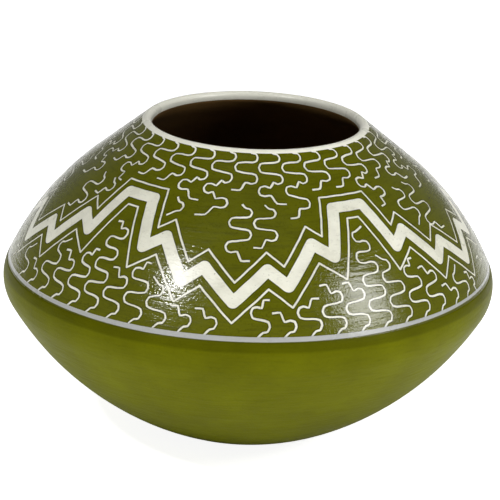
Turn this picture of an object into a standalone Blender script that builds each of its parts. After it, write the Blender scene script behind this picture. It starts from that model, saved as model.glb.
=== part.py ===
"""A squat hand-built pot: one fired clay wall and the slip coats laid over it.

Every outline is a half section in the (radius, height) plane, turned about the pot's upright axis.
While the outlines are drawn, height 0 is the widest ring; an empty then lifts the pot so that its
resting face lies at z = 0. The front of the pot faces -Y.

The skin of the pot is three arcs that run into one another, a straight neck and a rounded lip:
bowl (foot to belt), belt (round the widest ring), shoulder, neck, lip. A point on an arc is named
by how far the pot's outward normal there leans up from level, and a depth is measured inward from
the skin. The coats are thin shells at their own depths, with a hairline gap between neighbours.
"""
import math

import bmesh
import bpy

# Driving dimensions, in metres and radians
BELLY_RADIUS = 0.110
RING_HEIGHT = 0.071                     # widest ring above the resting face
BELT_ROUND = 0.016
SHOULDER_ROUND = 0.124
BOWL_ROUND = 0.138
SHOULDER_START = math.radians(25.0)     # belt runs into shoulder
SHOULDER_END = math.radians(51.8)       # shoulder runs into the straight neck
BOWL_START = -math.radians(29.2)        # belt runs into bowl
LIP_RADIUS = 0.048                      # centre line of the lip
LIP_ROUND = 0.00205                     # half the thickness of the lip
WALL = 0.005
FLOOR = 0.007

# Slip coats
COAT = 0.0005
GAP = 0.0003
STRIPE_LOW = 0.0077                     # bare white stripe, above the widest ring
STRIPE_HIGH = 0.0096
LIP_BAND = 0.0011                       # white neck below the rounding of the lip
INNER_BAND = 0.0035                     # white inside the mouth, below the top of the lip
FOOT_BAND = 0.0012                      # bare clay round the foot, above the resting face

# The mouth is not quite true to the foot: it sits to one side, and leans
MOUTH_SHIFT = 0.00125                   # toward +X, at the lip
MOUTH_LEAN_X = -0.0121                  # rise per unit of X, at the lip
MOUTH_LEAN_Y = 0.0097                   # rise per unit of Y, at the lip

# How finely the outlines are stepped
SEGMENTS = 40
BOWL_STEPS = 8
BELT_STEPS = 6
SHOULDER_STEPS = 5
LIP_STEPS = 8
SHARP_ANGLE = math.radians(35.0)
MERGE = 1e-6

OVER_COAT = COAT + GAP                  # depth just behind one coat
OVER_TWO = 2 * OVER_COAT                # depth just behind two coats


def on_arc(centre, radius, angle):
    """The point of an arc whose outward normal leans up by the given angle."""
    return centre[0] + radius * math.cos(angle), centre[1] + radius * math.sin(angle)


BELT_CENTRE = (BELLY_RADIUS - BELT_ROUND, 0.0)
SHOULDER_CENTRE = on_arc(BELT_CENTRE, BELT_ROUND - SHOULDER_ROUND, SHOULDER_START)
BOWL_CENTRE = on_arc(BELT_CENTRE, BELT_ROUND - BOWL_ROUND, BOWL_START)


def skin_arc(angle):
    """Centre and radius of the arc that the skin follows at this angle."""
    if angle > SHOULDER_START:
        return SHOULDER_CENTRE, SHOULDER_ROUND
    if angle < BOWL_START:
        return BOWL_CENTRE, BOWL_ROUND
    return BELT_CENTRE, BELT_ROUND


def skin(angle, depth):
    centre, radius = skin_arc(angle)
    return on_arc(centre, radius - depth, angle)


def shoulder_angle(height):
    return math.asin((height - SHOULDER_CENTRE[1]) / SHOULDER_ROUND)


def bowl_angle(height, depth):
    return math.asin((height - BOWL_CENTRE[1]) / (BOWL_ROUND - depth))


def spaced(start, end, steps):
    return [start + (end - start) * step / steps for step in range(steps + 1)]


def run(start, end, steps, depth):
    """Points along one arc of the skin, from one angle to another."""
    return [skin(angle, depth) for angle in spaced(start, end, steps)]


def neck(distance, depth):
    """A point of the straight neck, this far up from the end of the shoulder."""
    foot = on_arc(SHOULDER_CENTRE, SHOULDER_ROUND - depth, SHOULDER_END)
    return foot[0] - distance * math.sin(SHOULDER_END), foot[1] + distance * math.cos(SHOULDER_END)


def neck_distance(radius, depth):
    """How far up the neck, at this depth, its radius has shrunk to the given one."""
    return (neck(0.0, depth)[0] - radius) / math.sin(SHOULDER_END)


NECK_LENGTH = neck_distance(LIP_RADIUS + LIP_ROUND * math.cos(SHOULDER_END), 0.0)
LIP_CENTRE = neck(NECK_LENGTH, LIP_ROUND)
LIP_BORDER = NECK_LENGTH - LIP_BAND     # where white slip meets the shoulder's olive, up the neck
INNER_WHITE_END = LIP_CENTRE[1] + LIP_ROUND - INNER_BAND


def lip(depth):
    """Over the lip, from the outside of the neck to the inside of the mouth."""
    angles = spaced(SHOULDER_END, math.pi, LIP_STEPS)
    return [on_arc(LIP_CENTRE, LIP_ROUND - depth, angle) for angle in angles]


def shift(angle, distance):
    """The angle that lies this far up the skin from the given one."""
    return angle + distance / skin_arc(angle)[1]


def belly_slip_section():
    """Olive coat from the foot up over the widest ring to the stripe."""
    foot = bowl_angle(FOOT_BAND - RING_HEIGHT, 0.0)
    stripe = shift(shoulder_angle(STRIPE_LOW), -GAP)
    outside = run(foot, BOWL_START, BOWL_STEPS, 0.0)
    outside += run(BOWL_START, SHOULDER_START, BELT_STEPS, 0.0)[1:]
    outside += [skin(stripe, 0.0)]
    inside = run(foot, BOWL_START, BOWL_STEPS, COAT)
    inside += run(BOWL_START, SHOULDER_START, BELT_STEPS, COAT)[1:]
    inside += [skin(stripe, COAT)]
    return outside + inside[::-1]


def shoulder_slip_section():
    """Olive coat from the stripe up to the white lip."""
    stripe = shift(shoulder_angle(STRIPE_HIGH), GAP)
    border = LIP_BORDER - GAP
    outside = run(stripe, SHOULDER_END, SHOULDER_STEPS, 0.0) + [neck(border, 0.0)]
    inside = run(stripe, SHOULDER_END, SHOULDER_STEPS, COAT) + [neck(border, COAT)]
    return outside + inside[::-1]


def white_slip_section():
    """White coat: bare at the stripe and the lip, under the olive in between."""
    low = shoulder_angle(STRIPE_LOW)
    high = shoulder_angle(STRIPE_HIGH)
    outside = [skin(low, 0.0), skin(high, 0.0)]
    outside += run(high, SHOULDER_END, SHOULDER_STEPS, OVER_COAT)
    outside += [neck(LIP_BORDER, OVER_COAT), neck(LIP_BORDER, 0.0)]
    outside += lip(0.0) + [(LIP_RADIUS - LIP_ROUND, INNER_WHITE_END)]
    inside = [skin(low, OVER_COAT + COAT)]
    inside += run(high, SHOULDER_END, SHOULDER_STEPS, OVER_COAT + COAT)
    inside += [neck(LIP_BORDER + COAT, OVER_COAT + COAT), neck(LIP_BORDER + COAT, COAT)]
    inside += lip(COAT) + [(LIP_RADIUS - LIP_ROUND + COAT, INNER_WHITE_END)]
    return outside + inside[::-1]


def clay_outside():
    """From the middle of the resting face, up behind the coats, to the inside of the mouth."""
    foot = bowl_angle(-RING_HEIGHT, 0.0)
    bare = bowl_angle(FOOT_BAND - RING_HEIGHT - GAP, 0.0)
    stripe = shift(shoulder_angle(STRIPE_LOW), -GAP)
    border = LIP_BORDER + OVER_COAT
    mouth = LIP_RADIUS - LIP_ROUND
    white_end = INNER_WHITE_END - GAP
    points = [(0.0, -RING_HEIGHT), skin(foot, 0.0), skin(bare, 0.0)]
    points += run(bare, BOWL_START, BOWL_STEPS, OVER_COAT)
    points += run(BOWL_START, SHOULDER_START, BELT_STEPS, OVER_COAT)[1:]
    points += [skin(stripe, OVER_COAT), skin(stripe, OVER_TWO)]
    points += run(shoulder_angle(STRIPE_HIGH), SHOULDER_END, SHOULDER_STEPS, OVER_TWO)
    points += [neck(border, OVER_TWO), neck(border, OVER_COAT)]
    points += lip(OVER_COAT)
    points += [(mouth + OVER_COAT, white_end), (mouth, white_end)]
    return points


def clay_inside():
    """From the mouth down the inside of the wall to the middle of the floor."""
    floor = FLOOR - RING_HEIGHT
    throat = neck(neck_distance(LIP_RADIUS - LIP_ROUND, WALL), WALL)
    points = [throat]
    points += run(SHOULDER_END, SHOULDER_START, SHOULDER_STEPS, WALL)
    points += run(SHOULDER_START, BOWL_START, BELT_STEPS, WALL)[1:]
    points += run(BOWL_START, bowl_angle(floor, WALL), BOWL_STEPS, WALL)[1:]
    points += [(0.0, floor)]
    return points


def clay_body_section():
    return clay_outside() + clay_inside()


def settle(point):
    """Move a point of the true, turned shape to where the hand-built pot has it."""
    rise = max(0.0, point.z) / (LIP_CENTRE[1] + LIP_ROUND)
    point.z += rise * (MOUTH_LEAN_X * point.x + MOUTH_LEAN_Y * point.y)
    point.x += rise * MOUTH_SHIFT


def clay_material(name, colour, roughness):
    material = bpy.data.materials.new(name)
    material.use_nodes = True
    surface = material.node_tree.nodes["Principled BSDF"]
    surface.inputs["Base Color"].default_value = (*colour, 1.0)
    surface.inputs["Roughness"].default_value = roughness
    surface.inputs["Metallic"].default_value = 0.0
    return material


def turn(name, section, material, pot):
    """Spin a half section about the upright axis into one closed solid."""
    shape = bmesh.new()
    rim = [shape.verts.new((radius, 0.0, height)) for radius, height in section]
    edges = [shape.edges.new(pair) for pair in zip(rim, rim[1:])]
    if rim[0].co.x > 0.0:
        edges.append(shape.edges.new((rim[-1], rim[0])))
    bmesh.ops.spin(shape, geom=rim + edges, cent=(0, 0, 0), axis=(0, 0, 1),
                   angle=math.tau, steps=SEGMENTS, use_merge=True)
    bmesh.ops.remove_doubles(shape, verts=shape.verts, dist=MERGE)
    if shape.calc_volume(signed=True) < 0.0:
        bmesh.ops.reverse_faces(shape, faces=shape.faces)
    for vertex in shape.verts:
        settle(vertex.co)
    mesh = bpy.data.meshes.new(name)
    shape.to_mesh(mesh)
    shape.free()
    mesh.materials.append(material)
    mesh.shade_smooth()
    mesh.set_sharp_from_angle(angle=SHARP_ANGLE)
    piece = bpy.data.objects.new(name, mesh)
    piece.parent = pot
    bpy.context.scene.collection.objects.link(piece)
    return piece


def clear_scene():
    for item in list(bpy.data.objects):
        bpy.data.objects.remove(item)


def build():
    clear_scene()
    pot = bpy.data.objects.new("pot", None)
    pot.location = (0.0, 0.0, RING_HEIGHT)
    bpy.context.scene.collection.objects.link(pot)
    olive = clay_material("burnished_olive_slip", (0.123, 0.130, 0.001), 0.36)
    carved_olive = clay_material("carved_olive_slip", (0.109, 0.114, 0.003), 0.40)
    white = clay_material("white_slip", (0.810, 0.800, 0.680), 0.50)
    clay = clay_material("fired_brown_clay", (0.130, 0.068, 0.015), 0.65)
    turn("clay_body", clay_body_section(), clay, pot)
    turn("belly_slip", belly_slip_section(), olive, pot)
    turn("white_slip", white_slip_section(), white, pot)
    turn("shoulder_slip", shoulder_slip_section(), carved_olive, pot)
    bpy.context.view_layer.update()


build()
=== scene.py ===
"""The looks of the carved olive and white pot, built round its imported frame.

The shoulder's olive coat is cut right through along every carved line, so that the white coat under
it shows, as on the real pot. The carving is a generic zigzag band with squiggles round it, drawn by
rule on a chart of the shoulder and carried all the way round.
"""
import math

import bmesh
import bpy
import numpy as np
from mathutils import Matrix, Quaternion, Vector
from mathutils.geometry import delaunay_2d_cdt


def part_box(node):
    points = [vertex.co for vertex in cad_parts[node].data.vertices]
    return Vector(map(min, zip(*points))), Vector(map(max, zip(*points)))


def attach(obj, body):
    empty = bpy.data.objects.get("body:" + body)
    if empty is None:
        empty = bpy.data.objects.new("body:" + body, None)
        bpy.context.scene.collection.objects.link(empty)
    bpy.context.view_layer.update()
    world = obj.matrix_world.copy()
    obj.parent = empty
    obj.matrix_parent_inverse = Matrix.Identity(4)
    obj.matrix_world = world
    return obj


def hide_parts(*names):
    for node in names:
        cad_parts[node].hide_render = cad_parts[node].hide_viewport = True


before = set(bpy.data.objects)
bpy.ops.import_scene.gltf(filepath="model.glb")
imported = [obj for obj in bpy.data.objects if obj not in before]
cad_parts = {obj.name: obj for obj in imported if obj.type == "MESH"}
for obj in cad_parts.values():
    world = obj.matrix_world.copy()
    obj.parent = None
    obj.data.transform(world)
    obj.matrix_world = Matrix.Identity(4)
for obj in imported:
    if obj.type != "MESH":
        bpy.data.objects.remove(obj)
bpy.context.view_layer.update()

# ---------------------------------------------------------------- sizes, in metres and radians
MM = 0.001
BELLY_LOW, BELLY_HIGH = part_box("belly_slip")
BELLY_RADIUS = (BELLY_HIGH[0] - BELLY_LOW[0]) / 2
RING_HEIGHT = 0.6455 * BELLY_RADIUS     # widest ring above the resting face
BELT_ROUND = 0.016
SHOULDER_ROUND = 0.124
BOWL_ROUND = 0.138
SHOULDER_START = math.radians(25.0)
SHOULDER_END = math.radians(51.8)
BOWL_START = -math.radians(29.2)
LIP_RADIUS = 0.048
LIP_ROUND = 0.00205
WALL = 0.005
FLOOR = 0.007
STRIPE_LOW = 0.0077                     # edges of the bare stripe, above the widest ring
STRIPE_HIGH = 0.0096
LIP_BAND = 0.0011
INNER_BAND = 0.0035
FOOT_BAND = 0.0012
MOUTH_SHIFT = 0.00125
MOUTH_LEAN_X = -0.0121
MOUTH_LEAN_Y = 0.0097

CUT = 0.00008                           # how deep the carving goes: the thickness of the olive coat
SEAT = 0.00009                          # depth of the white coat's face, under the olive
BACKING = 0.0006                        # depth of the clay, under the slip
SOFT_EDGE = 0.0005                      # width of the edge along a cut that is darkened with painted shade
SOFT_DROP = 0.00002                     # how far that edge is worn down
STRIPE_LAP = 0.0003                     # the belly's coat stops this far short of the stripe's foot
LINE = 0.00087                          # width of a thin carved line
BAND = 0.0052                           # width of the bold band
SWELL = 0.00011                         # how far the hand-built wall stands out of true
RIPPLE = 0.00005
HIDDEN_FOOT = 0.001                     # the white coat runs on this far under the belly's coat
CLAY_GAP = 0.00002                      # between the white coat's back and the clay
LIP_LAP = 0.0003                        # from the carved coat's top edge to where the lip is bare
FOOT_INSET = 0.0001                     # the bare foot stands this far inside the belly's coat
STEP_IN = 0.0002                        # height in which the clay steps in, behind the coats
INNER_GAP = 0.0001                      # between the white coat's lower edge in the mouth and the clay
FACE_GAP = 0.00005                      # there the clay stands this far behind the white coat's face
THROAT_STEP = 0.0003                    # and this far behind it a little lower down
THROAT_DROP = 0.0012

SEGMENTS = 256                          # of each turned skin
SHARP_ANGLE = math.radians(50)
SEAM = math.radians(-84.0)              # the chart of the coat starts and ends here
SEAM_REACH = 1e-5                       # how near to the seam a point counts as on it
WELD_REACH = 1e-6
CHART_REACH = 1e-6
COLUMNS = 280                           # steps of the coat's own grid, round the pot and up it
ROWS = 20
OUTSIDE, CUT_AWAY, STANDING, SHADED_EDGE = range(4)


# ---------------------------------------------------------------- the shape of the skin
def on_arc(centre, radius, angle):
    return centre[0] + radius * np.cos(angle), centre[1] + radius * np.sin(angle)


BELT_CENTRE = (BELLY_RADIUS - BELT_ROUND, 0.0)
SHOULDER_CENTRE = on_arc(BELT_CENTRE, BELT_ROUND - SHOULDER_ROUND, SHOULDER_START)
BOWL_CENTRE = on_arc(BELT_CENTRE, BELT_ROUND - BOWL_ROUND, BOWL_START)
NECK_FOOT = on_arc(SHOULDER_CENTRE, SHOULDER_ROUND, SHOULDER_END)
NECK_LENGTH = (NECK_FOOT[0] - LIP_RADIUS - LIP_ROUND * math.cos(SHOULDER_END)) / math.sin(SHOULDER_END)
STRIPE_TOP = math.asin((STRIPE_HIGH - SHOULDER_CENTRE[1]) / SHOULDER_ROUND)
STRIPE_FOOT = math.asin((STRIPE_LOW - SHOULDER_CENTRE[1]) / SHOULDER_ROUND)
ARC_CLIMB = (SHOULDER_END - STRIPE_TOP) * SHOULDER_ROUND
TOP_CLIMB = ARC_CLIMB + NECK_LENGTH - LIP_BAND
LIP_CENTRE = on_arc((NECK_FOOT[0] - NECK_LENGTH * math.sin(SHOULDER_END),
                     NECK_FOOT[1] + NECK_LENGTH * math.cos(SHOULDER_END)), -LIP_ROUND, SHOULDER_END)
LIP_TOP = LIP_CENTRE[1] + LIP_ROUND


def shoulder(climb, depth=0.0):
    """Radius and height of the skin, this far up the shoulder from the top of the stripe."""
    angle = np.minimum(STRIPE_TOP + climb / SHOULDER_ROUND, SHOULDER_END)
    straight = np.maximum(climb - ARC_CLIMB, 0.0)
    radius, height = on_arc(SHOULDER_CENTRE, SHOULDER_ROUND - depth, angle)
    return radius - straight * math.sin(SHOULDER_END), height + straight * math.cos(SHOULDER_END)


def unevenness(azimuth, height):
    """How far the hand-built wall stands in or out of true."""
    swell = np.sin(2 * azimuth + 0.6 + 18 * height) + 0.8 * np.sin(3 * azimuth - 1.1 - 25 * height)
    ripple = np.sin(7 * azimuth + 90 * height) * np.sin(4 * azimuth - 130 * height + 2.0)
    return SWELL * swell + RIPPLE * ripple


def place(azimuth, radius, height):
    """World points of (radius, height) sections, turned to azimuths measured from the front."""
    azimuth, radius, height = np.broadcast_arrays(azimuth, radius, height)
    radius = radius + unevenness(azimuth, height) * np.clip(radius / LIP_RADIUS, 0, 1)
    rise = np.maximum(0.0, height) / LIP_TOP
    x = radius * np.sin(azimuth)
    y = -radius * np.cos(azimuth)
    z = height + rise * (MOUTH_LEAN_X * x + MOUTH_LEAN_Y * y) + RING_HEIGHT
    return np.stack([x + rise * MOUTH_SHIFT, y, z], axis=-1)


def shoulder_point(azimuth, climb, depth):
    radius, height = shoulder(climb, depth)
    return place(azimuth, radius, height)


def shoulder_normal(azimuth, climb):
    """Outward direction of the skin, from two small steps along it."""
    step = 0.0005
    along = shoulder_point(azimuth + step / LIP_RADIUS, climb, 0.0) - shoulder_point(azimuth, climb, 0.0)
    up = shoulder_point(azimuth, climb + step, 0.0) - shoulder_point(azimuth, climb, 0.0)
    normal = np.cross(along, up)
    return normal / np.linalg.norm(normal, axis=-1, keepdims=True)


# ---------------------------------------------------------------- a chart of the shoulder
# Like a sailor's chart it keeps angles true: x is the azimuth, y grows so that a length on the pot
# is a length on the chart times the local radius.
CHART_CLIMBS = np.linspace(-0.006, 0.092, 2000)     # from below the stripe to past the lip
CHART_STEPS = np.diff(CHART_CLIMBS) / shoulder((CHART_CLIMBS[1:] + CHART_CLIMBS[:-1]) / 2)[0]
CHART_HEIGHTS = np.concatenate([[0.0], np.cumsum(CHART_STEPS)])
CHART_HEIGHTS -= np.interp(0.0, CHART_CLIMBS, CHART_HEIGHTS)


def to_chart(degrees, climb_mm):
    height = np.interp(np.multiply(climb_mm, MM), CHART_CLIMBS, CHART_HEIGHTS)
    return np.stack([np.radians(degrees), height], axis=-1)


def climb_at(points):
    return np.interp(points[..., 1], CHART_HEIGHTS, CHART_CLIMBS)


def scale_at(points):
    """Metres on the pot for one unit on the chart."""
    return shoulder(climb_at(points))[0]


def unit(vectors):
    return vectors / np.maximum(np.linalg.norm(vectors, axis=-1, keepdims=True), 1e-12)


def left_of(vectors):
    return np.stack([-vectors[..., 1], vectors[..., 0]], axis=-1)


# ---------------------------------------------------------------- the pattern
# Made up for this model, with the ware's line widths and density: an outlined zigzag in equal repeats,
# and rows of squiggles in the rest.
REPEATS = 5
FIRST_VALLEY = -4.0                     # degrees
RISE = [(0, 13), (8, 27), (13, 20), (20.5, 38), (26, 31.5), (30.5, 54)]     # (degrees, mm) corners
MOTIF = RISE + [(360 / REPEATS - degrees, climb) for degrees, climb in RISE[:0:-1]]
OUTLINE_OFFSET = 0.0058                 # from the middle of the band to the middle of an outline
STRAY_DEGREES = 0.5                     # how far the band's corners stray from the motif
STRAY_MM = 0.9
BAND_SIDES = 20                         # sides of the round joint at a corner of the band
OUTLINE_SIDES = 10

CLIMB_UP, HANG_DOWN = 1, -1
SQUIGGLES = [
    # squiggles in the row, where they start and how far that strays (mm), way, most tips with the
    # foot counted (some squiggles may have one or two more), radius that sets their size (mm)
    (36, 85.5, 0, HANG_DOWN, 5, 58),
    (48, 57.0, 1.5, HANG_DOWN, 12, 82),
    (62, -0.5, 0, CLIMB_UP, 12, 104),
]
SWING = 0.0041                          # how far a squiggle's lobes reach aside
PITCH = 0.0056                          # from one lobe to the next
EARLY = 0.2                             # the first lobe comes early by this share of the pitch
UNEVEN = 0.18                           # swing and pitch vary by this share
STRAY_ASIDE = 0.08                      # a squiggle strays by this share of the row's spacing
TRIED_SHARES = (1.0, 0.6, 0.25)         # shares of the swing, tried in turn until one has room
CHECKED = np.linspace(0.2, 1.0, 6)      # where along the way to the next lobe its room is checked
CLEARANCE = 0.0018                      # room that a squiggle leaves to every other line

LOBE = 0.0025                           # rounding of a squiggle's lobes
LOBE_SPAN = 2.6                         # a lobe's rounding fits this often between two tips
WAIST_BACK = 0.3                        # where a lobe is widest, in shares of its rounding
WAIST_ASIDE = 0.78
KNUCKLE = 0.0014                        # sideways step where a squiggle crosses from lobe to lobe
KNUCKLE_SHARE = 0.22                    # that step is at most this share of the crossing
KNUCKLES_AT = (0.24, 0.62)              # shares of the crossing where it steps aside and back
SHORT_CROSSING = 0.005                  # shorter crossings are straight
SHORT_FIRST_CROSSING = 0.007
CRISP = 0.5                             # 0 draws a squiggle as a flowing curve, 1 as straight facets
CURVE_STEPS = 3                         # from one node of a squiggle to the next
RUN_STEP = 0.004                        # straight runs are stepped this finely, to follow the curved wall
WANDER = 0.00006                        # how far the tool strays


def unsteady(number, amount):
    """A small error of the hand that is the same each run."""
    return amount * math.sin(number * 37.7 + 1.3)


def zigzag():
    """The bold band's corners, once round the pot and back to the first."""
    total = REPEATS * len(MOTIF)
    corners = []
    for number in range(total + 1):
        repeat, step = divmod(number, len(MOTIF))
        degrees, climb = MOTIF[step]
        degrees += FIRST_VALLEY + repeat * 360 / REPEATS
        same = number % total
        degrees += unsteady(same, STRAY_DEGREES)
        climb += unsteady(same + 0.5, STRAY_MM)
        corners.append((degrees, climb))
    return to_chart(*zip(*corners))


def beside(path, distance):
    """The corners of the line that runs along a closed band at this distance."""
    after = unit(np.diff(path, axis=0))
    bisector = left_of(after + np.roll(after, 1, axis=0))
    mitre = bisector * 2 / (bisector ** 2).sum(axis=1, keepdims=True)
    corners = path[:-1] + mitre * distance / scale_at(path[:-1])[:, None]
    return np.concatenate([corners, corners[:1] + (math.tau, 0.0)])


def room(points, lines):
    """Metres from each point to the nearest straight run of the lines."""
    turned_lines = [line + (turn, 0.0) for line in lines for turn in (-math.tau, 0, math.tau)]
    starts = np.concatenate([line[:-1] for line in turned_lines])
    ends = np.concatenate([line[1:] for line in turned_lines])
    runs = ends - starts
    shares = ((points[:, None] - starts) * runs).sum(axis=-1) / (runs ** 2).sum(axis=-1)
    nearest = starts + np.clip(shares, 0, 1)[..., None] * runs
    return np.linalg.norm(points[:, None] - nearest, axis=-1).min(axis=1) * scale_at(points)


def clear(points, band, lines):
    """Whether all these points keep off the band and the lines already drawn."""
    return (room(points, lines).min() > CLEARANCE
            and room(points, [band]).min() > OUTLINE_OFFSET + CLEARANCE)


def tips_of(number, foot, way, most, radius, band, lines):
    """The tips of a squiggle's lobes, from its foot until the next lobe would come near a line."""
    tips = [foot]
    side = 1
    while len(tips) < most + number % 3:
        key = number * 9 + len(tips)    # differs from lobe to lobe, to vary them
        aside = side * SWING / radius * (1 + unsteady(key, UNEVEN))
        along = way * PITCH / radius * (len(tips) - EARLY + unsteady(key + 0.3, UNEVEN))
        for share in TRIED_SHARES:
            tip = foot + (aside * share, along)
            crossing = tips[-1] + (tip - tips[-1]) * CHECKED[:, None]
            if clear(crossing, band, lines):
                break
        else:
            return np.array(tips)
        tips.append(tip)
        side = -side
    return np.array(tips)


def squiggles(band, outlines):
    """The tips of all squiggles, in rows that start at one height and keep clear of every line."""
    found = []
    for count, start, stray, way, most, radius in SQUIGGLES:
        for number in range(count):
            degrees = FIRST_VALLEY + (number + unsteady(number, STRAY_ASIDE)) * 360 / count
            foot = to_chart([degrees], [start + unsteady(number + 0.7, stray)])[0]
            tips = tips_of(number, foot, way, most, radius * MM, band, outlines + found)
            if len(tips) > 2 and clear(tips[:1], band, outlines + found):
                found.append(tips)
    return found


def smooth_path(nodes):
    """A centripetal Catmull-Rom curve through the nodes, drawn part of the way to straight facets."""
    nodes = np.concatenate([[2 * nodes[0] - nodes[1]], nodes, [2 * nodes[-1] - nodes[-2]]])
    gaps = np.sqrt(np.maximum(np.linalg.norm(np.diff(nodes, axis=0), axis=1), 1e-9))
    times = np.concatenate([[0.0], np.cumsum(gaps)])
    curve = []
    for i in range(1, len(nodes) - 2):
        t0, t1, t2, t3 = times[i - 1:i + 3]
        a, b, c, d = nodes[i - 1:i + 3]
        for t in np.linspace(t1, t2, CURVE_STEPS, endpoint=False):
            chord = b + (c - b) * (t - t1) / (t2 - t1)
            ab = ((t1 - t) * a + (t - t0) * b) / (t1 - t0)
            bc = ((t2 - t) * b + (t - t1) * c) / (t2 - t1)
            cd = ((t3 - t) * c + (t - t2) * d) / (t3 - t2)
            abc = ((t2 - t) * ab + (t - t0) * bc) / (t2 - t0)
            bcd = ((t3 - t) * bc + (t - t1) * cd) / (t3 - t1)
            flowing = ((t2 - t) * abc + (t - t1) * bcd) / (t2 - t1)
            curve.append(flowing + (chord - flowing) * CRISP)
    curve.append(nodes[-2])
    return np.array(curve)


def lobe(before, tip, after):
    """Five nodes of a U-turn round a tip, and the direction from its way out to its way in."""
    outward = unit(tip - (before + after) / 2)
    across = left_of(outward)
    if across @ (before - after) < 0:
        across = -across
    reach = min(np.linalg.norm(before - tip), np.linalg.norm(after - tip)) / LOBE_SPAN
    size = min(LOBE / scale_at(tip), reach)
    back = tip - outward * size
    waist = tip - outward * size * WAIST_BACK
    nodes = [back + across * size, waist + across * size * WAIST_ASIDE, tip,
             waist - across * size * WAIST_ASIDE, back - across * size]
    return nodes, across


def squiggle_path(tips):
    """A wandering line: round lobes at the given tips, and a knuckled crossing between lobes."""
    nodes = [tips[0]]
    inward = None
    for i in range(1, len(tips)):
        if i < len(tips) - 1:
            arrivals, across = lobe(*tips[i - 1:i + 2])
        else:
            arrivals, across = [tips[i]], inward
        crossing = arrivals[0] - nodes[-1]
        scale = scale_at(arrivals[0])
        length = np.linalg.norm(crossing)
        shortest = SHORT_CROSSING if i > 1 else SHORT_FIRST_CROSSING
        if length * scale > shortest and across is not None:
            side = left_of(unit(crossing))
            lead = inward if inward is not None else -across
            side = side * np.sign(side @ lead) * min(KNUCKLE / scale, KNUCKLE_SHARE * length)
            start = nodes[-1]
            nodes.append(start + crossing * KNUCKLES_AT[0] + side)
            nodes.append(start + crossing * KNUCKLES_AT[1] - side)
        nodes += arrivals
        inward = across
    return smooth_path(np.array(nodes))


def wobble(path):
    """The path with the small sideways wander of a hand-held tool: two waves, different for each path."""
    travelled = np.cumsum(np.linalg.norm(np.diff(path, axis=0, prepend=path[:1]), axis=1)) * 35
    drift = np.sin(travelled * 1.7 + path[0, 0] * 50) + 0.6 * np.sin(travelled * 4.1 + path[0, 1] * 90)
    return path + left_of(tangents(path)) * (drift * WANDER / scale_at(path))[:, None]


def tangents(path):
    return unit(np.gradient(path, axis=0))


def ribbon(path, widths):
    """Four-cornered cells that cover a line of these widths, each sharing a side with the next."""
    reach = (widths / 2 / scale_at(path))[:, None] * left_of(tangents(path))
    left = path + reach
    right = path - reach
    return [np.array([left[i], right[i], right[i + 1], left[i + 1]]) for i in range(len(path) - 1)]


def pressure(path):
    """How hard the tool presses along a squiggle, which makes it wider or narrower."""
    overall = 0.08 * np.sin(path[0, 0] * 55)
    along = 0.12 * np.sin(np.arange(len(path)) * 0.37 + path[0, 0] * 70)
    return 1 + overall + along


def bars(path, width, sides):
    """A bar along each straight run, cut into short lengths, and a round joint at each corner."""
    cells = []
    for start, end in zip(path, path[1:]):
        length = np.linalg.norm(end - start) * scale_at((start + end) / 2)
        steps = math.ceil(length / RUN_STEP)
        marks = start + (end - start) * np.linspace(0, 1, steps + 1)[:, None]
        cells += ribbon(wobble(marks), np.full(steps + 1, width))
    turns = np.arange(sides) * math.tau / sides
    ring = np.stack([np.cos(turns), np.sin(turns)], axis=-1)
    for corner in path:
        cells.append(corner + ring * width / 2 / scale_at(corner))
    return cells


def all_strokes(extra):
    """The whole pattern as convex cells, each line widened by the given amount."""
    band = zigzag()
    outlines = [beside(band, OUTLINE_OFFSET), beside(band, -OUTLINE_OFFSET)]
    cells = bars(band, BAND + extra, BAND_SIDES)
    for outline in outlines:
        cells += bars(outline, LINE + extra, OUTLINE_SIDES)
    for tips in squiggles(band, outlines):
        path = wobble(squiggle_path(tips))
        cells += ribbon(path, pressure(path) * LINE + extra)
    return cells


def in_order(cell):
    """The corners of a cell, anticlockwise round its middle."""
    spokes = cell - cell.mean(axis=0)
    return cell[np.argsort(np.arctan2(spokes[:, 1], spokes[:, 0]))]


def unrolled(cells, start, end):
    """The cells between two azimuths, with the ones that come round from the far side of the seam."""
    margin = math.radians(3)
    kept = []
    for shift in (-math.tau, 0.0, math.tau):
        for cell in cells:
            moved = in_order(cell) + (shift, 0.0)
            if moved[:, 0].max() > start - margin and moved[:, 0].min() < end + margin:
                kept.append(moved)
    return kept


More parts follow.
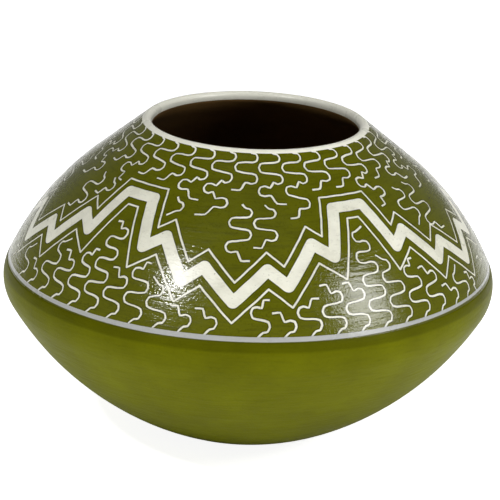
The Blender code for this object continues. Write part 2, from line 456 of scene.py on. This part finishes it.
def carve():
    """The carved coat as triangles on the chart.

    Returns the chart points, the triangles left standing, which points lie on a cut, and which
    triangles belong to the edge along the cuts that is darkened with painted shade.
    """
    start, end = SEAM, SEAM + math.tau
    cut_cells = unrolled(all_strokes(0.0), start, end)
    soft_cells = unrolled(all_strokes(2 * SOFT_EDGE), start, end)
    across = np.linspace(start, end, COLUMNS + 1)
    rows = to_chart(np.zeros(ROWS + 1), np.linspace(0.0, TOP_CLIMB, ROWS + 1) / MM)[:, 1]
    border = [(a, rows[0]) for a in across] + [(end, row) for row in rows[1:-1]]
    border += [(a, rows[-1]) for a in across[::-1]] + [(start, row) for row in rows[-2:0:-1]]
    points = [np.array(border)]
    faces = [list(range(len(border)))]
    count = len(border)
    for cell in cut_cells + soft_cells:
        points.append(cell)
        faces.append(list(range(count, count + len(cell))))
        count += len(cell)
    edge_rows = to_chart([0.0, 0.0], [SOFT_EDGE / MM, (TOP_CLIMB - SOFT_EDGE) / MM])[:, 1]
    inner = [(a, row) for row in edge_rows for a in across[1:-1]]
    for number, row in enumerate(rows[1:-1]):
        inner += [(a, row) for a in across[1 + number % 2:-1:2]]
    points.append(np.array(inner))
    flat = [Vector(point) for point in np.concatenate(points).tolist()]
    chart, _, triangles, _, _, sources = delaunay_2d_cdt(flat, [], faces, 0, CHART_REACH)
    chart = np.array([tuple(point) for point in chart])
    kinds = np.array([cell_kind(source, len(cut_cells)) for source in sources])
    triangles = np.array(triangles)
    is_cut = np.zeros(len(chart), dtype=bool)
    is_cut[np.unique(triangles[kinds == CUT_AWAY])] = True
    standing = kinds >= STANDING
    return chart, triangles[standing], is_cut, kinds[standing] == SHADED_EDGE


def cell_kind(source, cut_count):
    """What a triangle is, from the cells it lies in: cell 0 is the whole coat."""
    if 0 not in source:
        return OUTSIDE
    if any(1 <= cell <= cut_count for cell in source):
        return CUT_AWAY
    return SHADED_EDGE if len(source) > 1 else STANDING


# ---------------------------------------------------------------- meshes
def shell_triangles(top, count):
    """Close a sheet of triangles into a shell: its underside, and walls along its open edges."""
    under = top[:, ::-1] + count
    edges = np.concatenate([top[:, [0, 1]], top[:, [1, 2]], top[:, [2, 0]]])
    keys = np.sort(edges, axis=1) @ (count, 1)
    _, first, uses = np.unique(keys, return_index=True, return_counts=True)
    open_edges = edges[first[uses == 1]]
    near, far = open_edges.T
    walls = np.concatenate([np.stack([far, near, near + count], 1),
                            np.stack([far, near + count, far + count], 1)])
    return under, walls


def sewn(chart, triangles):
    """The triangles with the chart's two ends joined along the seam."""
    at_start = np.flatnonzero(np.abs(chart[:, 0] - SEAM) < SEAM_REACH)
    at_end = np.flatnonzero(np.abs(chart[:, 0] - SEAM - math.tau) < SEAM_REACH)
    gaps = np.abs(chart[at_end, 1][:, None] - chart[at_start, 1][None, :])
    index = np.arange(len(chart))
    index[at_end] = at_start[gaps.argmin(axis=1)]
    return index[triangles]


def parted(triangles, count):
    """Give each side its own point where two cuts meet at a point.

    Returns the triangles, and which old point each point comes from.
    """
    triangles = triangles.copy()
    origin = list(range(count))
    edges = np.concatenate([triangles[:, [0, 1]], triangles[:, [1, 2]], triangles[:, [2, 0]]])
    _, first, uses = np.unique(np.sort(edges, axis=1) @ (count, 1), return_index=True, return_counts=True)
    rim_starts, rims = np.unique(edges[first[uses == 1], 0], return_counts=True)
    for point in rim_starts[rims > 1]:
        fans = []
        for number in np.flatnonzero((triangles == point).any(axis=1)):
            reach = set(triangles[number]) - {point}
            joined = [fan for fan in fans if fan[1] & reach]
            fans = [fan for fan in fans if not fan[1] & reach]
            numbers = sum((fan[0] for fan in joined), [number])
            fans.append((numbers, reach.union(*(fan[1] for fan in joined))))
        for numbers, _ in fans[1:]:
            corners = triangles[numbers]
            corners[corners == point] = len(origin)
            triangles[numbers] = corners
            origin.append(point)
    return triangles, np.array(origin)


def carved_shoulder():
    """The olive coat of the shoulder, cut right through along every line of the pattern."""
    chart, top, is_cut, shaded_edge = carve()
    top, origin = parted(sewn(chart, top), len(chart))
    used, top = np.unique(top, return_inverse=True)
    top = top.reshape(-1, 3)
    chart = chart[origin[used]]
    is_cut = is_cut[origin[used]]
    azimuth = chart[:, 0]
    climb = climb_at(chart)
    outer = shoulder_point(azimuth, climb, np.where(is_cut, SOFT_DROP, 0.0))
    inner = shoulder_point(azimuth, climb, CUT)
    under, walls = shell_triangles(top, len(chart))
    triangles = np.concatenate([top, under, walls])
    mesh = mesh_from(np.concatenate([outer, inner]), triangles)
    smooth = np.zeros(len(triangles), dtype=bool)
    smooth[:len(top)] = True
    mesh.polygons.foreach_set("use_smooth", smooth)
    normals = np.zeros((len(triangles) * 3, 3))
    normals[:top.size] = shoulder_normal(azimuth, climb)[top.ravel()]
    mesh.normals_split_custom_set(normals.tolist())
    # Painted shade: the 'edge' value darkens the coat along each cut and on the cut's walls, standing in
    # for their shadow.
    edge = np.ones((len(triangles), 3))
    edge[:len(top)] = is_cut[top] * shaded_edge[:, None]
    edge[len(top):len(top) + len(under)] = 0.0
    mesh.attributes.new("edge", "FLOAT", "CORNER").data.foreach_set("value", edge.ravel())
    return mesh


def mesh_from(points, faces):
    mesh = bpy.data.meshes.new("mesh")
    mesh.from_pydata(points.tolist(), [], faces.tolist())
    mesh.update()
    return mesh


def weld(mesh):
    """Make one point of the points that fall together on the axis."""
    work = bmesh.new()
    work.from_mesh(mesh)
    bmesh.ops.remove_doubles(work, verts=work.verts, dist=WELD_REACH)
    work.to_mesh(mesh)
    work.free()


def turned(section):
    """A closed skin from a closed (radius, height) section, which may run along the axis."""
    section = np.array(section, dtype=float)
    count = len(section)
    on_axis = section[:, 0] == 0
    steps = np.flatnonzero(~(on_axis & np.roll(on_axis, -1)))
    azimuths = np.arange(SEGMENTS) * math.tau / SEGMENTS
    points = place(azimuths[:, None], section[None, :, 0], section[None, :, 1]).reshape(-1, 3)
    turn, step = np.meshgrid(np.arange(SEGMENTS), steps, indexing="ij")
    here = turn * count + step
    up = turn * count + (step + 1) % count
    on = (turn + 1) % SEGMENTS * count + step
    up_on = (turn + 1) % SEGMENTS * count + (step + 1) % count
    mesh = mesh_from(points, np.stack([here, on, up_on, up], axis=-1).reshape(-1, 4))
    weld(mesh)
    mesh.shade_smooth()
    mesh.set_sharp_from_angle(angle=SHARP_ANGLE)
    return mesh


def arc(centre, radius, start, end, steps):
    return list(zip(*on_arc(centre, radius, np.linspace(start, end, steps + 1))))


def bowl_angle(height, depth):
    return math.asin((height - BOWL_CENTRE[1]) / (BOWL_ROUND - depth))


def outer_wall(foot_height, depth):
    """From this height on the bowl up to where the belt runs into the shoulder."""
    foot = bowl_angle(foot_height, depth)
    points = arc(BOWL_CENTRE, BOWL_ROUND - depth, foot, BOWL_START, steps=24)
    return points + arc(BELT_CENTRE, BELT_ROUND - depth, BOWL_START, SHOULDER_START, steps=14)[1:]


def burnished_belly():
    """The plain coat, from the foot up over the widest ring to the stripe, with softened rims."""
    soft = CUT / 2
    stripe = STRIPE_FOOT - STRIPE_LAP / SHOULDER_ROUND
    outside = outer_wall(FOOT_BAND - RING_HEIGHT, 0.0)
    outside.append(on_arc(SHOULDER_CENTRE, SHOULDER_ROUND, stripe - soft / SHOULDER_ROUND))
    outside.append(on_arc(SHOULDER_CENTRE, SHOULDER_ROUND - soft, stripe))
    inside = outer_wall(FOOT_BAND - RING_HEIGHT, CUT)
    inside.append(on_arc(SHOULDER_CENTRE, SHOULDER_ROUND - CUT, stripe))
    return turned(outside + inside[::-1])


def white_coat():
    """The white slip: bare at the stripe and the lip, seen through the carving in between."""
    low = STRIPE_FOOT - HIDDEN_FOOT / SHOULDER_ROUND
    thick = BACKING - SEAT - CLAY_GAP
    outside = arc(SHOULDER_CENTRE, SHOULDER_ROUND - SEAT, low, SHOULDER_END, steps=40)
    climbs = np.linspace(ARC_CLIMB, TOP_CLIMB, 16)[1:]
    outside += list(zip(*shoulder(climbs, SEAT)))
    outside.append(shoulder(TOP_CLIMB + LIP_LAP, SEAT / 3))
    outside += arc(LIP_CENTRE, LIP_ROUND, SHOULDER_END, math.pi, steps=14)
    mouth = LIP_RADIUS - LIP_ROUND
    outside.append((mouth, LIP_TOP - INNER_BAND + CUT))
    outside.append((mouth + CUT / 2, LIP_TOP - INNER_BAND))
    inside = arc(SHOULDER_CENTRE, SHOULDER_ROUND - SEAT - thick, low, SHOULDER_END, steps=40)
    inside.append(shoulder(TOP_CLIMB + LIP_LAP, SEAT + thick))
    inside += arc(LIP_CENTRE, LIP_ROUND - thick, SHOULDER_END, math.pi, steps=14)
    inside.append((mouth + thick, LIP_TOP - INNER_BAND))
    return turned(outside + inside[::-1])


def clay_outside():
    """The clay from the middle of the foot up to just inside the mouth, mostly hidden by the slip."""
    foot = bowl_angle(-RING_HEIGHT, 0.0)
    bare = FOOT_BAND - RING_HEIGHT
    mouth = LIP_RADIUS - LIP_ROUND
    under_band = LIP_TOP - INNER_BAND - INNER_GAP
    points = [(0.0, -RING_HEIGHT), (0.01, -RING_HEIGHT), (0.02, -RING_HEIGHT)]
    points += arc(BOWL_CENTRE, BOWL_ROUND - FOOT_INSET, foot, bowl_angle(bare, 0.0), steps=3)
    points += outer_wall(bare + STEP_IN, BACKING)
    points += arc(SHOULDER_CENTRE, SHOULDER_ROUND - BACKING, SHOULDER_START, SHOULDER_END, steps=24)[1:]
    points.append(shoulder(TOP_CLIMB, BACKING))
    points += arc(LIP_CENTRE, LIP_ROUND - BACKING, SHOULDER_END, math.pi, steps=10)
    points.append((mouth + BACKING, under_band))
    points.append((mouth + FACE_GAP, under_band))
    points.append((mouth + THROAT_STEP, LIP_TOP - INNER_BAND - THROAT_DROP))
    return points


def clay_inside():
    """The bare clay from the throat down to the middle of the floor."""
    throat = NECK_LENGTH - WALL
    floor_height = FLOOR - RING_HEIGHT
    points = [on_arc(shoulder(ARC_CLIMB + throat * k / 4), -WALL, SHOULDER_END) for k in (3, 2, 1, 0)]
    points += arc(SHOULDER_CENTRE, SHOULDER_ROUND - WALL, SHOULDER_END, SHOULDER_START, steps=20)[1:]
    points += arc(BELT_CENTRE, BELT_ROUND - WALL, SHOULDER_START, BOWL_START, steps=12)[1:]
    bottom = bowl_angle(floor_height, WALL)
    points += arc(BOWL_CENTRE, BOWL_ROUND - WALL, BOWL_START, bottom, steps=20)[1:]
    return points + [(0.02, floor_height), (0.01, floor_height), (0.0, floor_height)]


def clay_wall():
    """The fired wall: its back hidden by the slip, its inside and foot bare."""
    return turned(clay_outside() + clay_inside())


# ---------------------------------------------------------------- materials
# Colours are linear. The two numbers after a noise in ramp() are the part of its range that counts.
SHOULDER_LIGHT = (0.121, 0.126, 0.0036)
SHOULDER_DEEP = (0.097, 0.101, 0.0028)
# Painted shade for the band along each cut and for the cut's walls.
CUT_SHADE = (0.022, 0.024, 0.001, 1)
BELLY_LIGHT = (0.139, 0.148, 0.001)
BELLY_DEEP = (0.106, 0.111, 0.001)
# Painted shade for the band under the stripe, where the wall turns to face outward.
BELT_SHADE = (0.02, 0.018, 0.0, 1)
CHALK_DIM = (0.74, 0.73, 0.60, 1)
CHALK_BRIGHT = (0.91, 0.90, 0.765, 1)
CHALK_SCRATCH = (0.46, 0.44, 0.37, 1)
CHALK_STAIN = (0.26, 0.24, 0.16, 1)
RUBBED_STRIPE = (0.37, 0.38, 0.385, 1)
OLIVE_LAP = (0.085, 0.088, 0.002, 1)
# Painted light for the top of the lip.
LIP_LIGHT = (0.95, 0.94, 0.82, 1)
CLAY_DARK = (0.10, 0.050, 0.011, 1)
CLAY_PALE = (0.19, 0.100, 0.022, 1)
CLAY_GRAIN = (0.26, 0.16, 0.05, 1)
FLOOR_DIM = (0.90, 0.90, 0.90, 1)
FLOOR_BRIGHT = (0.94, 0.94, 0.94, 1)
WHITE = (1, 1, 1, 1)


def add(tree, kind, settings=(), **inputs):
    """A shader node, with its settings and its inputs given as values or as other nodes' outputs."""
    made = tree.nodes.new("ShaderNode" + kind)
    for name, value in dict(settings).items():
        setattr(made, name, value)
    for name, value in inputs.items():
        socket = made.inputs[name.replace("_", " ")]
        if isinstance(value, bpy.types.NodeSocket):
            tree.links.new(value, socket)
        else:
            socket.default_value = value
    return made


def blank_material(name):
    material = bpy.data.materials.new(name)
    material.use_nodes = True
    tree = material.node_tree
    return material, tree, tree.nodes["Principled BSDF"]


def stretched(tree, x, y, z):
    """The pot's own coordinates, scaled: a small factor draws a pattern out along that axis."""
    place_node = add(tree, "TexCoord")
    return add(tree, "Mapping", Vector=place_node.outputs["Object"], Scale=(x, y, z)).outputs[0]


def noise(tree, vector, scale, detail, roughness=0.55):
    made = add(tree, "TexNoise", Vector=vector, Scale=scale, Detail=detail, Roughness=roughness)
    return made.outputs["Fac"]


def ramp(tree, value, low, high, to_low=0.0, to_high=1.0):
    made = add(tree, "MapRange", Value=value)
    made.inputs["From Min"].default_value = low
    made.inputs["From Max"].default_value = high
    made.inputs["To Min"].default_value = to_low
    made.inputs["To Max"].default_value = to_high
    return made.outputs[0]


def mix(tree, share, first, second, blend="MIX"):
    return add(tree, "MixRGB", {"blend_type": blend}, Fac=share, Color1=first, Color2=second).outputs[0]


def maths(tree, operation, first, second):
    made = tree.nodes.new("ShaderNodeMath")
    made.operation = operation
    for socket, value in zip(made.inputs, (first, second)):
        if isinstance(value, bpy.types.NodeSocket):
            tree.links.new(value, socket)
        else:
            socket.default_value = value
    return made.outputs[0]


def bump(tree, height, distance, onto=None):
    made = add(tree, "Bump", Height=height, Distance=distance)
    if onto is not None:
        tree.links.new(onto, made.inputs["Normal"])
    return made.outputs[0]


def darker(colour, share):
    return (*[channel * share for channel in colour], 1)


def olive_slip(name, light, deep, streaky, roughness, shine):
    """Stone-burnished olive slip: level rubbing streaks, faint clouds, fine specks."""
    material, tree, surface = blank_material(name)
    even = stretched(tree, 1, 1, 1)
    level = stretched(tree, 0.1, 0.1, 1)
    clouds = noise(tree, even, scale=42, detail=4)
    streaks = noise(tree, level, scale=850, detail=2, roughness=0.6)
    strokes = noise(tree, level, scale=300, detail=3, roughness=0.6)
    grains = noise(tree, even, scale=900, detail=2, roughness=0.6)
    colour = mix(tree, ramp(tree, clouds, 0.3, 0.7), (*deep, 1), (*light, 1))
    colour = mix(tree, ramp(tree, strokes, 0.45, 0.75, to_high=streaky), colour, (*deep, 1))
    colour = mix(tree, ramp(tree, streaks, 0.5, 0.75, to_high=streaky), colour, darker(deep, 0.6))
    colour = mix(tree, ramp(tree, grains, 0.56, 0.75, to_high=streaky), colour, darker(deep, 0.5))
    from_streaks = ramp(tree, streaks, 0.3, 0.7, to_low=-0.03, to_high=0.05)
    from_clouds = ramp(tree, clouds, 0.3, 0.7, to_low=-0.03, to_high=0.04)
    rough = maths(tree, "ADD", from_streaks, from_clouds)
    tree.links.new(maths(tree, "ADD", rough, roughness), surface.inputs["Roughness"])
    surface.inputs["Specular IOR Level"].default_value = shine
    relief = bump(tree, streaks, distance=0.00013)
    relief = bump(tree, strokes, distance=0.00012, onto=relief)
    relief = bump(tree, grains, distance=0.0001, onto=relief)
    tree.links.new(relief, surface.inputs["Normal"])
    return material, tree, surface, colour


def carved_olive_slip():
    """The shoulder's olive: painted shade darkens a band along each cut and the cut's walls, standing in
    for the shadow of its edge.
    """
    material, tree, surface, colour = olive_slip(
        "carved_olive_slip", SHOULDER_LIGHT, SHOULDER_DEEP, streaky=0.5, roughness=0.15, shine=0.45)
    edge = add(tree, "Attribute", {"attribute_name": "edge"}).outputs["Fac"]
    # Painted shade along the cuts, from the 'edge' value.
    cut_shade = maths(tree, "MULTIPLY", maths(tree, "POWER", edge, 0.7), 0.8)
    tree.links.new(mix(tree, cut_shade, colour, CUT_SHADE), surface.inputs["Base Color"])
    return material


def burnished_olive_slip():
    """The belly's olive: painted shade darkens a band running down a little way from the stripe."""
    material, tree, surface, colour = olive_slip(
        "burnished_olive_slip", BELLY_LIGHT, BELLY_DEEP, streaky=0.2, roughness=0.42, shine=0.03)
    height = add(tree, "SeparateXYZ", Vector=stretched(tree, 1, 1, 1)).outputs["Z"]
    # Painted shade: a darker band from the stripe down to just above the widest ring.
    belt_shade = ramp(tree, height, RING_HEIGHT + 0.0029, RING_HEIGHT + 0.0040, to_high=0.34)
    tree.links.new(mix(tree, belt_shade, colour, BELT_SHADE), surface.inputs["Base Color"])
    return material


def white_slip():
    """Chalky white slip with tool scratches, a few stains, a rubbed stripe, and painted light that
    brightens the lip.
    """
    material, tree, surface = blank_material("chalk_white_slip")
    even = stretched(tree, 1, 1, 1)
    slanted = stretched(tree, 0.35, 0.35, 1)
    clouds = noise(tree, even, scale=90, detail=4)
    scratches = noise(tree, slanted, scale=1300, detail=3, roughness=0.65)
    specks = noise(tree, even, scale=900, detail=2)
    colour = mix(tree, ramp(tree, clouds, 0.3, 0.7), CHALK_DIM, CHALK_BRIGHT)
    colour = mix(tree, ramp(tree, scratches, 0.55, 0.8, to_high=0.5), colour, CHALK_SCRATCH)
    colour = mix(tree, ramp(tree, specks, 0.68, 0.76, to_high=0.6), colour, CHALK_STAIN)
    place_at = add(tree, "SeparateXYZ", Vector=even).outputs
    height = place_at["Z"]
    stripe_top = RING_HEIGHT + STRIPE_HIGH
    rubbed = ramp(tree, height, stripe_top + 0.0006, stripe_top - 0.0004, to_high=0.85)
    colour = mix(tree, rubbed, colour, RUBBED_STRIPE)
    colour = mix(tree, lapped(tree, place_at["X"], height), colour, OLIVE_LAP)
    # Painted light: the top of the lip is brightened.
    lip_top = RING_HEIGHT + LIP_TOP
    lip_light = ramp(tree, height, lip_top - 0.004, lip_top - 0.002, to_high=0.7)
    colour = mix(tree, lip_light, colour, LIP_LIGHT)
    tree.links.new(colour, surface.inputs["Base Color"])
    rough = ramp(tree, clouds, 0.3, 0.7, to_low=0.24, to_high=0.34)
    tree.links.new(rough, surface.inputs["Roughness"])
    relief = bump(tree, scratches, distance=0.00006)
    relief = bump(tree, noise(tree, even, scale=350, detail=2), distance=0.00008, onto=relief)
    tree.links.new(relief, surface.inputs["Normal"])
    return material


def lapped(tree, sideways, height):
    """Where the belly's olive laps over the stripe's foot: more toward the pot's sides."""
    aside = maths(tree, "ABSOLUTE", sideways, 0.0)
    foot = RING_HEIGHT + STRIPE_LOW
    edge = ramp(tree, aside, 0.04, 0.10, to_low=foot - 0.0001, to_high=foot + 0.0006)
    return ramp(tree, maths(tree, "SUBTRACT", height, edge), 0.00008, -0.00008)


def brown_clay():
    """Smoke-darkened clay, scraped level on the inside."""
    material, tree, surface = blank_material("smoked_brown_clay")
    even = stretched(tree, 1, 1, 1)
    level = stretched(tree, 0.15, 0.15, 1)
    clouds = noise(tree, even, scale=30, detail=5)
    scrapes = noise(tree, level, scale=420, detail=4, roughness=0.6)
    grains = noise(tree, even, scale=1800, detail=3)
    colour = mix(tree, ramp(tree, clouds, 0.3, 0.7), CLAY_DARK, CLAY_PALE)
    colour = mix(tree, ramp(tree, grains, 0.6, 0.75, to_high=0.5), colour, CLAY_GRAIN)
    tree.links.new(colour, surface.inputs["Base Color"])
    rough = ramp(tree, clouds, 0.3, 0.7, to_low=0.55, to_high=0.75)
    tree.links.new(rough, surface.inputs["Roughness"])
    relief = bump(tree, scrapes, distance=0.0003)
    relief = bump(tree, grains, distance=0.0001, onto=relief)
    tree.links.new(relief, surface.inputs["Normal"])
    return material


def pale_floor():
    """A white sweep that glows a little, as a lit light table does, so that no hard shadow falls; its
    glow fades near the pot, a painted shadow of the pot.
    """
    material, tree, surface = blank_material("pale_floor")
    fine = noise(tree, stretched(tree, 1, 1, 1), scale=300, detail=2)
    colour = mix(tree, fine, FLOOR_DIM, FLOOR_BRIGHT)
    tree.links.new(colour, surface.inputs["Base Color"])
    surface.inputs["Roughness"].default_value = 0.9
    surface.inputs["Specular IOR Level"].default_value = 0.0
    surface.inputs["Emission Color"].default_value = WHITE
    away = add(tree, "VectorMath", {"operation": "LENGTH"})
    tree.links.new(stretched(tree, 1, 1, 1), away.inputs[0])
    # Painted shadow: the glow fades toward the pot's foot, for all rays but the camera's.
    glow = ramp(tree, away.outputs["Value"], GLOW_STARTS, GLOW_FULL, FLOOR_GLOW_IN_PAINTED_SHADOW, FLOOR_GLOW)
    seen = add(tree, "LightPath").outputs["Is Camera Ray"]
    shown = maths(tree, "MULTIPLY", seen, FLOOR_SHOWN)
    tree.links.new(maths(tree, "MAXIMUM", glow, shown), surface.inputs["Emission Strength"])
    return material


# ---------------------------------------------------------------- pieces
def piece(name, mesh, material, node):
    mesh.name = name
    mesh.materials.append(material)
    made = bpy.data.objects.new(name, mesh)
    bpy.context.scene.collection.objects.link(made)
    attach(made, "root")
    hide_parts(node)


def build_pot():
    piece("carved_shoulder", carved_shoulder(), carved_olive_slip(), "shoulder_slip")
    piece("white_slip_coat", white_coat(), white_slip(), "white_slip")
    piece("burnished_belly", burnished_belly(), burnished_olive_slip(), "belly_slip")
    piece("clay_wall", clay_wall(), brown_clay(), "clay_body")


# ---------------------------------------------------------------- studio
FLOOR_GLOW = 0.95                       # how brightly the floor glows away from the pot; under the pot a painted shadow dims it
FLOOR_GLOW_IN_PAINTED_SHADOW = 0.03
GLOW_STARTS = 0.066                     # distances from the axis where the glow sets in and is full, past the painted shadow round the pot
GLOW_FULL = 0.155
FLOOR_SHOWN = 0.9                       # the least glow that the camera sees
FLOOR_DROP = 0.0002                     # the floor lies this far under the foot
FRONT_GLOW = 0.12                       # of the studio round the camera, and behind the pot
BACK_GLOW = 0.30
CEILING = 0.06                          # share of that glow left overhead


def direction(azimuth, elevation):
    """Unit vector toward a light, its azimuth measured from the front toward the pot's right."""
    azimuth, elevation = math.radians(azimuth), math.radians(elevation)
    return Vector((math.sin(azimuth) * math.cos(elevation), -math.cos(azimuth) * math.cos(elevation),
                   math.sin(elevation)))


def lamp(name, azimuth, elevation, distance, size, power, mirrored=True):
    light = bpy.data.lights.new(name, "AREA")
    light.shape = "DISK"
    light.size = size
    light.energy = power
    made = bpy.data.objects.new(name, light)
    toward = direction(azimuth, elevation)
    made.location = Vector((0, 0, RING_HEIGHT)) + toward * distance
    made.rotation_mode = "QUATERNION"
    made.rotation_quaternion = toward.to_track_quat("Z", "Y")
    made.visible_glossy = mirrored
    bpy.context.scene.collection.objects.link(made)


def floor():
    reach = 6.0
    points = np.array([(-reach, -reach, 0), (reach, -reach, 0), (reach, reach, 0), (-reach, reach, 0)])
    mesh = mesh_from(points, np.array([[0, 1, 2, 3]]))
    mesh.materials.append(pale_floor())
    made = bpy.data.objects.new("pale_floor", mesh)
    made.location.z = -FLOOR_DROP
    bpy.context.scene.collection.objects.link(made)


def studio_walls():
    """White to the camera. As light: dim air, with a brighter back and a dark ceiling."""
    world = bpy.data.worlds.new("studio")
    bpy.context.scene.world = world
    world.use_nodes = True
    tree = world.node_tree
    back = tree.nodes["Background"]
    split = add(tree, "SeparateXYZ", Vector=add(tree, "TexCoord").outputs["Generated"]).outputs
    behind = ramp(tree, split["Y"], 0.7, 1.0, FRONT_GLOW, BACK_GLOW)
    ceiling = ramp(tree, split["Z"], 0.35, 0.8, 1.0, CEILING)
    glow = maths(tree, "MULTIPLY", behind, ceiling)
    seen = add(tree, "LightPath").outputs["Is Camera Ray"]
    shown = maths(tree, "MAXIMUM", glow, seen)
    tree.links.new(shown, back.inputs["Strength"])
    back.inputs["Color"].default_value = WHITE


def camera():
    """The photographer's place: a long lens, a little above the pot, held slightly tilted."""
    elevation = math.radians(18.75)
    distance = 0.8538
    tilt = 0.0288
    target = Vector((0.00045, 0.0, RING_HEIGHT + 0.00964))
    data = bpy.data.cameras.new("camera")
    data.lens = 136.35
    data.sensor_width = 36.0
    made = bpy.data.objects.new("camera", data)
    made.location = target + distance * Vector((0, -math.cos(elevation), math.sin(elevation)))
    look = (target - made.location).to_track_quat("-Z", "Y")
    made.rotation_mode = "QUATERNION"
    made.rotation_quaternion = look @ Quaternion((0, 0, 1), tilt)
    bpy.context.scene.collection.objects.link(made)
    bpy.context.scene.camera = made


build_pot()
floor()
studio_walls()
lamp("key", azimuth=-42.5, elevation=46, distance=1.2, size=0.085, power=4.4)
lamp("fill", azimuth=61.5, elevation=34, distance=1.4, size=0.55, power=8.6)
lamp("overhead", azimuth=0, elevation=78, distance=1.2, size=0.8, power=2.4, mirrored=False)
camera()
bpy.context.scene.view_settings.view_transform = "Standard"
